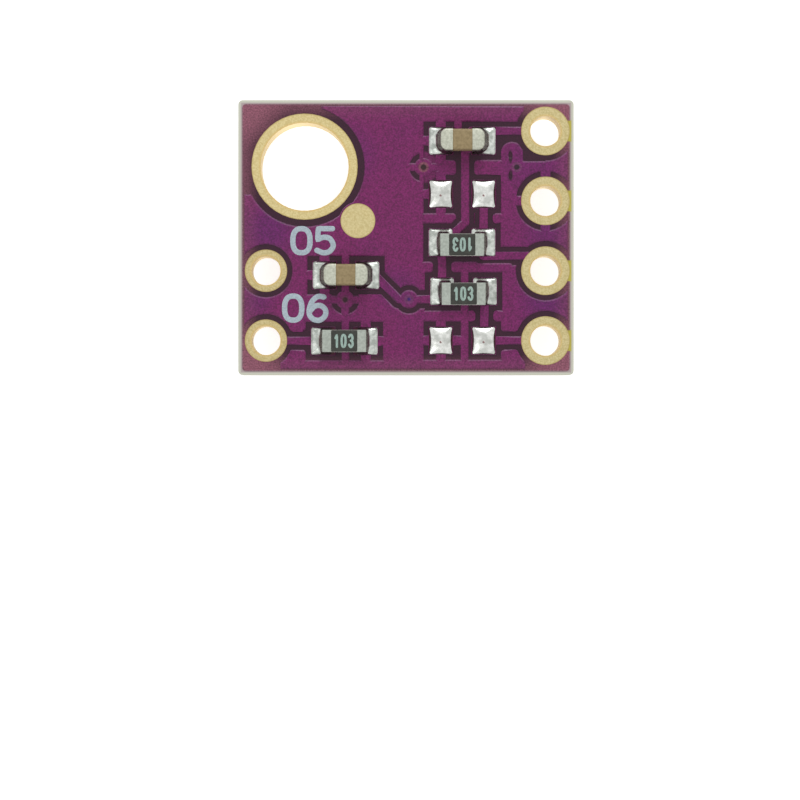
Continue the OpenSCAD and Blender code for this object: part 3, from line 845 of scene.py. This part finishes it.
CAPACITOR = Chip("capacitor", 1.63, 0.81, 0.46, 0.26, 0.5, ((2.045, 3.515), (-2.18, -1.37)), (0.0, 0.0))
RESISTOR = Chip("resistor", 1.6, 0.8, 0.32, 0.02, 0.36,
                ((2.035, -0.18), (2.09, -1.96), (-2.24, -3.765)), (0.095, 0.095, 0.0))


@dataclass
class ChipSolder:
    """The two solder joints of a chip part."""

    chip: Chip
    number: int  # The part's number among those of its kind, from 0
    foot: float = 0.08  # Height of the joint's low, wide foot beside the part
    # How hollow the joint's slope is: 1 for a straight one, and more for a deeper curve
    hollow: float = 5.0
    skin: float = 0.012  # Least height over the land
    rim: float = 0.045  # Height that it rises at once at the land's sides

    def outline(self, place: Pair) -> Pair:
        """Where the sheet lies: it ends at the part's metal, or covers the land if the part lies lower.

        Args:
            place: Place from the land's middle.

        Returns:
            The place on the land.
        """
        px, py = round_corners(place)
        if self.chip.drops[self.number]:
            return px, py
        return max(px, self.chip.length / 2 - LAND_PITCH / 2 - self.chip.metal_l), py

    def height(self, place: Pair) -> float:
        """Height of the joint of the right land; the part lies on its left side.

        Args:
            place: Place from the land's middle.

        Returns:
            Height over the land.
        """
        x, y = place
        chip = self.chip
        face = chip.length / 2 - LAND_PITCH / 2
        beyond = x - face + chip.corner_r
        beside = abs(y + chip.drops[self.number]) - chip.width / 2 + chip.corner_r
        inside = min(max(beyond, beside), 0.0) - chip.corner_r
        away = max(math.hypot(max(beyond, 0.0), max(beside, 0.0)) + inside, 0.0)
        near = 1 - away / (away + max(border(place), 0.001))
        start = ramp(x, face - chip.metal_l - 0.05, face - chip.metal_l + 0.08)
        rim = self.rim * ramp(border(place), -0.01, 0.07)
        return self.skin + rim + start * (self.foot * near + (chip.climb - self.foot) * near ** self.hollow)

    def build(self, material: Material) -> None:
        """Makes both joints as one piece.

        Args:
            material: The solder's material.
        """
        x, y = self.chip.middles[self.number]
        joints = [SolderSheet((x + side * LAND_PITCH / 2, y), self.height, self.outline, side).build()
                  for side in (-1, 1)]
        part = f"{self.chip.name}_{self.number + 1}"
        finish_piece(joined(joints), f"solder_of_{part}", material, Slot.SOLDER, f"{part}_solder")


@dataclass
class SpareSolder:
    """Solder on a land without a part: a low dome whose sides draw in, with a small pit."""

    skin: float = 0.015  # Least height over the land
    dome: float = 0.13
    side_draw: float = 0.05  # Distance by which the long sides draw in at their middle
    end_draw: float = 0.022  # The same of the ends
    corner_r: float = 0.12
    pit_at: Pair = (-0.01, -0.06)  # Place of the pit from the land's middle
    pit_r: float = 0.06
    pit_h: float = 0.02

    def height(self, place: Pair) -> float:
        """Height over the land.

        Args:
            place: Place from the land's middle.

        Returns:
            The height.
        """
        u, v = 2 * place[0] / LAND_W, 2 * place[1] / LAND_H
        crown = max(1 - u * u, 0.0) ** 0.6 * max(1 - v * v, 0.0) ** 0.6
        away = math.dist(place, self.pit_at)
        return self.skin + self.dome * crown - self.pit_h * (1 - ramp(away, 0.0, self.pit_r))

    def outline(self, place: Pair) -> Pair:
        """Draws the long sides and the ends in towards the middle of each, with round corners.

        Args:
            place: Place from the land's middle.

        Returns:
            The new place.
        """
        u, v = 2 * place[0] / LAND_W, 2 * place[1] / LAND_H
        px, py = round_corners(place, self.corner_r)
        return px - self.side_draw * u * (1 - v * v), py - self.end_draw * v * (1 - u * u)

    def build(self, at: Pair, number: int, material: Material) -> None:
        """Makes the solder of one land.

        Args:
            at: Middle of the land.
            number: The land's number.
            material: The solder's material.
        """
        sheet = SolderSheet(at, self.height, self.outline).build()
        finish_piece(joined([sheet]), f"solder_of_spare_land_{number}", material, Slot.SOLDER,
                     f"spare_land_solder_{number}")


@dataclass
class Capacitor:
    """A chip capacitor: a ceramic body with round edges, and ends dipped in metal."""

    at: Pair  # Its middle
    height: float = 0.8
    metal_t: float = 0.025
    edge_r: float = 0.09  # Radius of every edge but the upright ones at its ends
    foot_z: float = 2.57  # Height of its underside

    def block(self, low_x: float, high_x: float, shrink: float) -> Piece:
        """Makes a block with round edges from a cube.

        Args:
            low_x: Left end from the middle.
            high_x: Right end from the middle.
            shrink: Distance by which its width and height are smaller on each side.

        Returns:
            The block, whose upright edges at the capacitor's own ends are the roundest.
        """
        near = 0.001
        middle = (self.at[0] + (low_x + high_x) / 2, self.at[1], self.foot_z + self.height / 2)
        sides = (high_x - low_x, CAPACITOR.width - 2 * shrink, self.height - 2 * shrink)
        bpy.ops.object.select_all(action="DESELECT")
        bpy.ops.mesh.primitive_cube_add(size=1.0, location=Vector(middle) * MM, scale=Vector(sides) * MM)
        piece = bpy.context.object
        bpy.ops.object.transform_apply(location=True, rotation=True, scale=True)
        is_end = {self.at[0] + x: abs(x) > CAPACITOR.length / 2 - shrink - near for x in (low_x, high_x)}
        choose_edges(piece, lambda a, b: abs(a.z - b.z) > 0.1 and any(
            end and abs(a.x - x) < near for x, end in is_end.items()))
        bpy.ops.mesh.bevel(offset=(CAPACITOR.corner_r - shrink) * MM, segments=10, affect="EDGES")
        bpy.ops.object.mode_set(mode="OBJECT")
        choose_edges(piece, lambda a, b: abs(a.z - b.z) < near and not any(
            not end and abs(a.x - x) < near and abs(b.x - x) < near for x, end in is_end.items()))
        bpy.ops.mesh.bevel(offset=(self.edge_r - shrink / 2) * MM, segments=5, affect="EDGES")
        smooth_outside(35)
        return piece

    def build(self, number: int, ceramic: Material, metal: Material) -> None:
        """Makes the body and the two ends.

        Args:
            number: The capacitor's number.
            ceramic: Material of the body.
            metal: Material of the ends.
        """
        half, metal_l = CAPACITOR.length / 2, CAPACITOR.metal_l
        body = self.block(-half + self.metal_t, half - self.metal_t, self.metal_t)
        ends = [self.block(-half, metal_l - half, 0.0), self.block(half - metal_l, half, 0.0)]
        name = f"capacitor_{number}"
        finish_piece(body, f"body_of_{name}", ceramic, Slot.CERAMIC, f"{name}_ceramic")
        finish_piece(joined(ends), f"ends_of_{name}", metal, Slot.END, f"{name}_ends")


class ChipParts:
    """Capacitors, resistors, their solder and the solder of the lands without a part."""

    def build_capacitors(self) -> None:
        """Builds the bodies and the dipped ends of the capacitors."""
        # side paints a dark reflection on the ends' steep faces
        ends = MetalFinish("dipped_ends", (190, 192, 178), (170, 172, 158), 0.46, 0.66,
                           side=(112, 108, 100), painted_reflection_amount=0.85).make()
        tan = CeramicFinish("capacitor_body", (164, 144, 106), (142, 124, 88)).make()
        for i, at in enumerate(CAPACITOR.middles):
            Capacitor(at).build(i + 1, tan, ends)

    def dress_resistors(self) -> None:
        """Dresses every solid of the resistors."""
        # side paints a dark reflection on the tinned ends' steep faces
        ends = MetalFinish("tinned_ends", (172, 179, 170), (152, 158, 150), 0.3, 0.5,
                           side=(110, 108, 102), painted_reflection_amount=0.6)
        white = CeramicFinish("resistor_body", (222, 222, 214), (205, 205, 196))
        coat = CeramicFinish("resistor_coat", (58, 60, 53), (44, 45, 40), 0.3, 0.5)
        for finish, solid in ((white, "substrate"), (coat, "coating"), (ends, "ends")):
            dress(finish.make(), *(f"resistor_{i + 1}_{solid}" for i in range(len(RESISTOR.middles))))

    def build_joints(self) -> None:
        """Builds the solder of the chip parts."""
        # side paints a dark reflection on the joints' steep slopes
        solder = MetalFinish("joint_tin", (218, 222, 216), (184, 190, 184), 0.16, 0.34, 0.12, 0.006,
                             side=(112, 96, 92), painted_reflection_amount=0.9,
                             cloud=(136, 142, 135), cloud_amount=0.6).make()
        for chip in (CAPACITOR, RESISTOR):
            for number in range(len(chip.middles)):
                ChipSolder(chip, number).build(solder)

    def build_spare_solder(self) -> None:
        """Builds the solder of the lands without a part."""
        spare = SpareSolder()
        lands = [(x + side * LAND_PITCH / 2, y) for x, y in SPARE_LANDS_AT for side in (-1, 1)]
        # side paints a dark reflection on steep slopes, and pit a dark reflection in each pit
        tin = MetalFinish("spare_land_tin", (230, 231, 227), (204, 206, 201), 0.16, 0.34, 0.12, 0.006,
                          side=(96, 88, 88), painted_reflection_amount=0.85, cloud=(158, 161, 155), cloud_amount=0.5,
                          pits=tuple((x + spare.pit_at[0], y + spare.pit_at[1]) for x, y in lands)).make()
        for i, land in enumerate(lands):
            spare.build(land, i + 1, tin)


class Digit(Enum):
    """Centre lines of the plain digits.

    Each value holds places in hundredths of the digit's box, from -50 to 50, and the numbers of those
    places that are sharp corners. The zero's line is worked out.
    """

    ZERO = ((), ())
    ONE = (((-30, 24), (6, 50), (6, -50)), (0, 1, 2))
    THREE = (((-46, 34), (-20, 49), (16, 49), (42, 28), (26, 7), (-6, 2), (30, -5), (46, -26), (20, -48),
              (-18, -49), (-48, -32)), (5,))
    FIVE = (((44, 50), (-38, 50), (-42, 4), (-8, 14), (26, 10), (46, -10), (46, -28), (24, -46),
             (-10, -50), (-46, -40)), (0, 1, 2))
    SIX = (((36, 46), (2, 48), (-30, 30), (-48, -2), (-46, -30), (-20, -48), (16, -49), (44, -30),
            (44, -6), (18, 10), (-16, 8), (-42, -10)), ())

    def path(self) -> list[Pair]:
        """Works out a smooth line through the digit's places.

        Returns:
            Places along the line, within a box from -0.5 to 0.5.
        """
        if self is Digit.ZERO:
            turns = (math.tau * (i + 0.5) / 40 for i in range(40))
            return [tuple(0.5 * math.copysign(abs(v) ** 0.8, v) for v in (math.cos(a), math.sin(a)))
                    for a in turns]
        places = [(x / 100, y / 100) for x, y in self.value[0]]
        sharp = {0, len(places) - 1, *self.value[1]}
        line = []
        for i in range(len(places) - 1):
            b, c = places[i], places[i + 1]
            a = b if i in sharp else places[i - 1]
            d = c if i + 1 in sharp else places[i + 2]
            for t in (k / 6 for k in range(6)):
                weights = (-t + 2 * t * t - t ** 3, 2 - 5 * t * t + 3 * t ** 3,
                           t + 4 * t * t - 3 * t ** 3, t ** 3 - t * t)
                line.append(tuple(0.5 * sum(w * p[j] for w, p in zip(weights, (a, b, c, d)))
                                  for j in (0, 1)))
        return [*line, places[-1]]


@dataclass
class PrintedNumber:
    """A row of digits printed in strokes with round ends."""

    digits: tuple[Digit, ...]
    middles: tuple[Pair, ...]  # Place of each digit's middle
    size: Pair  # Width and height of a digit's centre line
    stroke: float
    ground_z: float  # Height of the surface that it is printed on
    ink: float = 0.01
    depth: float = 0.03  # How far it reaches down, so that it also fills a step of the mask
    turned: bool = False  # Whether the row stands on its head

    def line(self, digit: Digit, middle: Pair) -> Piece:
        """Makes one digit's stroke as a tube along its line.

        Args:
            digit: The digit.
            middle: Its middle.

        Returns:
            The tube as a mesh.
        """
        bpy.ops.object.select_all(action="DESELECT")
        bpy.ops.curve.primitive_bezier_curve_add()
        piece = bpy.context.object
        curve = piece.data
        curve.splines.clear()
        curve.bevel_depth = self.stroke / 2 * MM
        curve.bevel_resolution = 2
        curve.fill_mode = "FULL"
        way = -1 if self.turned else 1
        places = [(*(m + way * c * s for m, c, s in zip(middle, place, self.size)), 1.0)
                  for place in digit.path()]
        if digit is not Digit.ZERO:
            start = self.round_end(places[1], places[0])
            places = start[::-1] + places + self.round_end(places[-2], places[-1])
        spline = curve.splines.new("POLY")
        spline.points.add(len(places) - 1)
        spline.use_cyclic_u = digit is Digit.ZERO
        for point, (x, y, radius) in zip(spline.points, places):
            point.co = (x * MM, y * MM, 0.0, 1.0)
            point.radius = radius
        bpy.ops.object.convert(target="MESH")
        return bpy.context.object

    def round_end(self, before: Point, last: Point) -> list[Point]:
        """Places beyond a stroke's last one, over which its width falls to nothing.

        Args:
            before: The last place but one.
            last: The last place.

        Returns:
            The places with the share of the full width at each.
        """
        run = math.hypot(last[0] - before[0], last[1] - before[1])
        way = ((last[0] - before[0]) / run, (last[1] - before[1]) / run)
        turns = [math.pi / 2 * k / 5 for k in range(1, 6)]
        return [(*(c + w * self.stroke / 2 * math.sin(turn) for c, w in zip(last, way)),
                 max(math.cos(turn), 0.05)) for turn in turns]

    def build(self, name: str, material: Material) -> None:
        """Makes the number as one piece.

        Args:
            name: Name of the piece.
            material: Its material.
        """
        piece = joined([self.line(digit, middle) for digit, middle in zip(self.digits, self.middles)])
        for vertex in piece.data.vertices:
            share = vertex.co.z / (self.stroke / 2 * MM)
            vertex.co.z = (self.ground_z + share * (self.ink if share > 0 else self.depth)) * MM
        smooth_outside(40, 0.0002)
        finish_piece(piece, name, material)


@dataclass
class PrintedMarks:
    """The numbers beside the option holes and the values on the resistors."""

    board_size: Pair = (0.625, 0.875)  # Width and height of a board digit's centre line
    board_stroke: float = 0.195
    value_size: Pair = (0.14, 0.43)  # The same of a digit on a resistor
    value_stroke: float = 0.085
    # Places of a value's digits along X, from the resistor's middle
    value_offsets: Point = (-0.27, -0.02, 0.245)
    coating_z: float = 3.01  # Height of the resistors' coating

    def build(self) -> None:
        """Builds every printed number."""
        ink = CeramicFinish("print_ink", (190, 205, 214), (166, 180, 190), 0.5, 0.7, 0.05, 0.003,
                            0.3).make()
        rows = (("number_upper", (Digit.ZERO, Digit.FIVE), (-3.8, -2.95), -0.115),
                ("number_lower", (Digit.ZERO, Digit.SIX), (-4.1, -3.21), -2.565))
        for name, digits, xs, y in rows:
            places = tuple((x, y) for x in xs)
            PrintedNumber(digits, places, self.board_size, self.board_stroke, MASK_TOP_Z).build(name, ink)
        value_ink = CeramicFinish("value_ink", (178, 202, 192), (146, 170, 160), 0.5, 0.7, 0.03, 0.002,
                                  0.3).make()
        value = (Digit.ONE, Digit.ZERO, Digit.THREE)
        for i, (at, drop) in enumerate(zip(RESISTOR.middles, RESISTOR.drops)):
            turned = i == 0
            places = tuple((at[0] + (-x if turned else x), at[1] - drop) for x in self.value_offsets)
            number = PrintedNumber(value, places, self.value_size, self.value_stroke, self.coating_z,
                                   0.006, 0.01, turned)
            number.build(f"value_of_resistor_{i + 1}", value_ink)


@dataclass
class Sensor:
    """The sensor package on the underside."""

    package: CeramicFinish = CeramicFinish("package_mould", (52, 52, 54), (40, 40, 42), 0.45, 0.65)
    die: CeramicFinish = CeramicFinish("die_face", (92, 98, 112), (80, 86, 102), 0.12, 0.2, 0.3, 0.0005)
    contacts: MetalFinish = MetalFinish("contact_tin", (200, 200, 192), (184, 184, 176), 0.3, 0.45)
    solder: MetalFinish = MetalFinish("sensor_tin", (210, 216, 214), (190, 198, 196), 0.2, 0.36)

    def dress_solids(self) -> None:
        """Dresses the package, its die, its contacts and its solder."""
        for part in ("package", "die", "contacts", "solder"):
            dress(getattr(self, part).make(), f"sensor_{part}")


@dataclass
class Studio:
    """Camera, lamps, white ground and surroundings."""

    eye: Point = (-0.218, -5.905, TOP_Z + 116.4)  # Place of the camera
    lens: float = 144.1
    world_strength: float = 0.55  # Strength of the light from all round
    ground_z: float = -0.01  # Height of the ground, just under the module
    ground_glow: float = 0.75  # How far the ground shines by itself, so that it is white
    # Name, place, side and power in watts of each lamp: two above, and one that shows the underside
    lamps: tuple[tuple[str, Point, float, float], ...] = (
        ("key_lamp", (20, 115, 110), 60, 0.075), ("fill_lamp", (-80, -60, 130), 90, 0.03),
        ("under_lamp", (30, -100, -120), 80, 0.055))

    def camera(self) -> None:
        """Places the camera straight above, where the photograph was taken from."""
        data = bpy.data.cameras.new("camera")
        data.lens = self.lens
        data.sensor_width = 36
        data.clip_start = 1 * MM
        data.clip_end = 10
        eye = bpy.data.objects.new("camera", data)
        eye.location = Vector(self.eye) * MM
        bpy.context.collection.objects.link(eye)
        bpy.context.scene.camera = eye

    def light(self) -> None:
        """Adds the lamps, square and soft, which all point at the board."""
        for name, at, size, power in self.lamps:
            data = bpy.data.lights.new(name, "AREA")
            data.size = size * MM
            data.energy = power
            lamp = bpy.data.objects.new(name, data)
            lamp.location = Vector(at) * MM
            way = Vector((0, 0, 2)) * MM - lamp.location
            lamp.rotation_euler = way.to_track_quat("-Z", "Y").to_euler()
            bpy.context.collection.objects.link(lamp)

    def surroundings(self) -> None:
        """Makes the surroundings white to look at, also mirrored or through glass, and dimmer as light."""
        world = bpy.data.worlds.new("surroundings")
        world.use_nodes = True
        g = Graph(world.node_tree)
        background = g.tree.nodes["Background"]
        background.inputs[0].default_value = (1, 1, 1, 1)
        seen = g.rays("Camera", "Glossy", "Transmission")
        g.feed(g.node("MapRange", s0=seen, s3=self.world_strength, s4=1.0).outputs[0], background.inputs[1])
        bpy.context.scene.world = world

    def ground(self) -> None:
        """Lays a wide white sheet under the module, which is clear from below and to plain light."""
        bpy.ops.object.select_all(action="DESELECT")
        bpy.ops.mesh.primitive_plane_add(size=3.0, location=(0, 0, self.ground_z * MM))
        floor = bpy.context.object
        floor.name = "ground"
        material = bpy.data.materials.new("white_ground")
        material.use_nodes = True
        g = Graph(material.node_tree)
        shader = g.tree.nodes["Principled BSDF"]
        shader.inputs["Base Color"].default_value = (0.86, 0.86, 0.86, 1)
        shader.inputs["Roughness"].default_value = 0.9
        shader.inputs["Emission Color"].default_value = (1, 1, 1, 1)
        glow = g.node("MapRange", s0=g.rays("Camera", "Glossy"), s3=0.0, s4=self.ground_glow)
        g.feed(glow.outputs[0], shader.inputs["Emission Strength"])
        from_below = g.node("NewGeometry").outputs["Backfacing"]
        through = g.math("MAXIMUM", from_below, g.rays("Shadow", "Diffuse"))
        clear = g.node("BsdfTransparent").outputs[0]
        either = g.node("MixShader", s0=through, s1=shader.outputs[0], s2=clear)
        g.feed(either.outputs[0], g.tree.nodes["Material Output"].inputs["Surface"])
        floor.data.materials.append(material)


def main() -> None:
    """Builds the studio first and then each sub-assembly in order."""
    logging.basicConfig(level=logging.INFO, format="%(name)s: %(message)s")
    studio = Studio()
    studio.camera()
    studio.surroundings()
    studio.light()
    studio.ground()
    board = BareBoard()
    board.dress_solids()
    board.build_masks()
    PlatedHoles().dress_solids()
    parts = ChipParts()
    parts.build_capacitors()
    parts.dress_resistors()
    parts.build_joints()
    parts.build_spare_solder()
    PrintedMarks().build()
    Sensor().dress_solids()
    bpy.context.scene.view_settings.view_transform = "Standard"


if __name__ == "__main__":
    main()
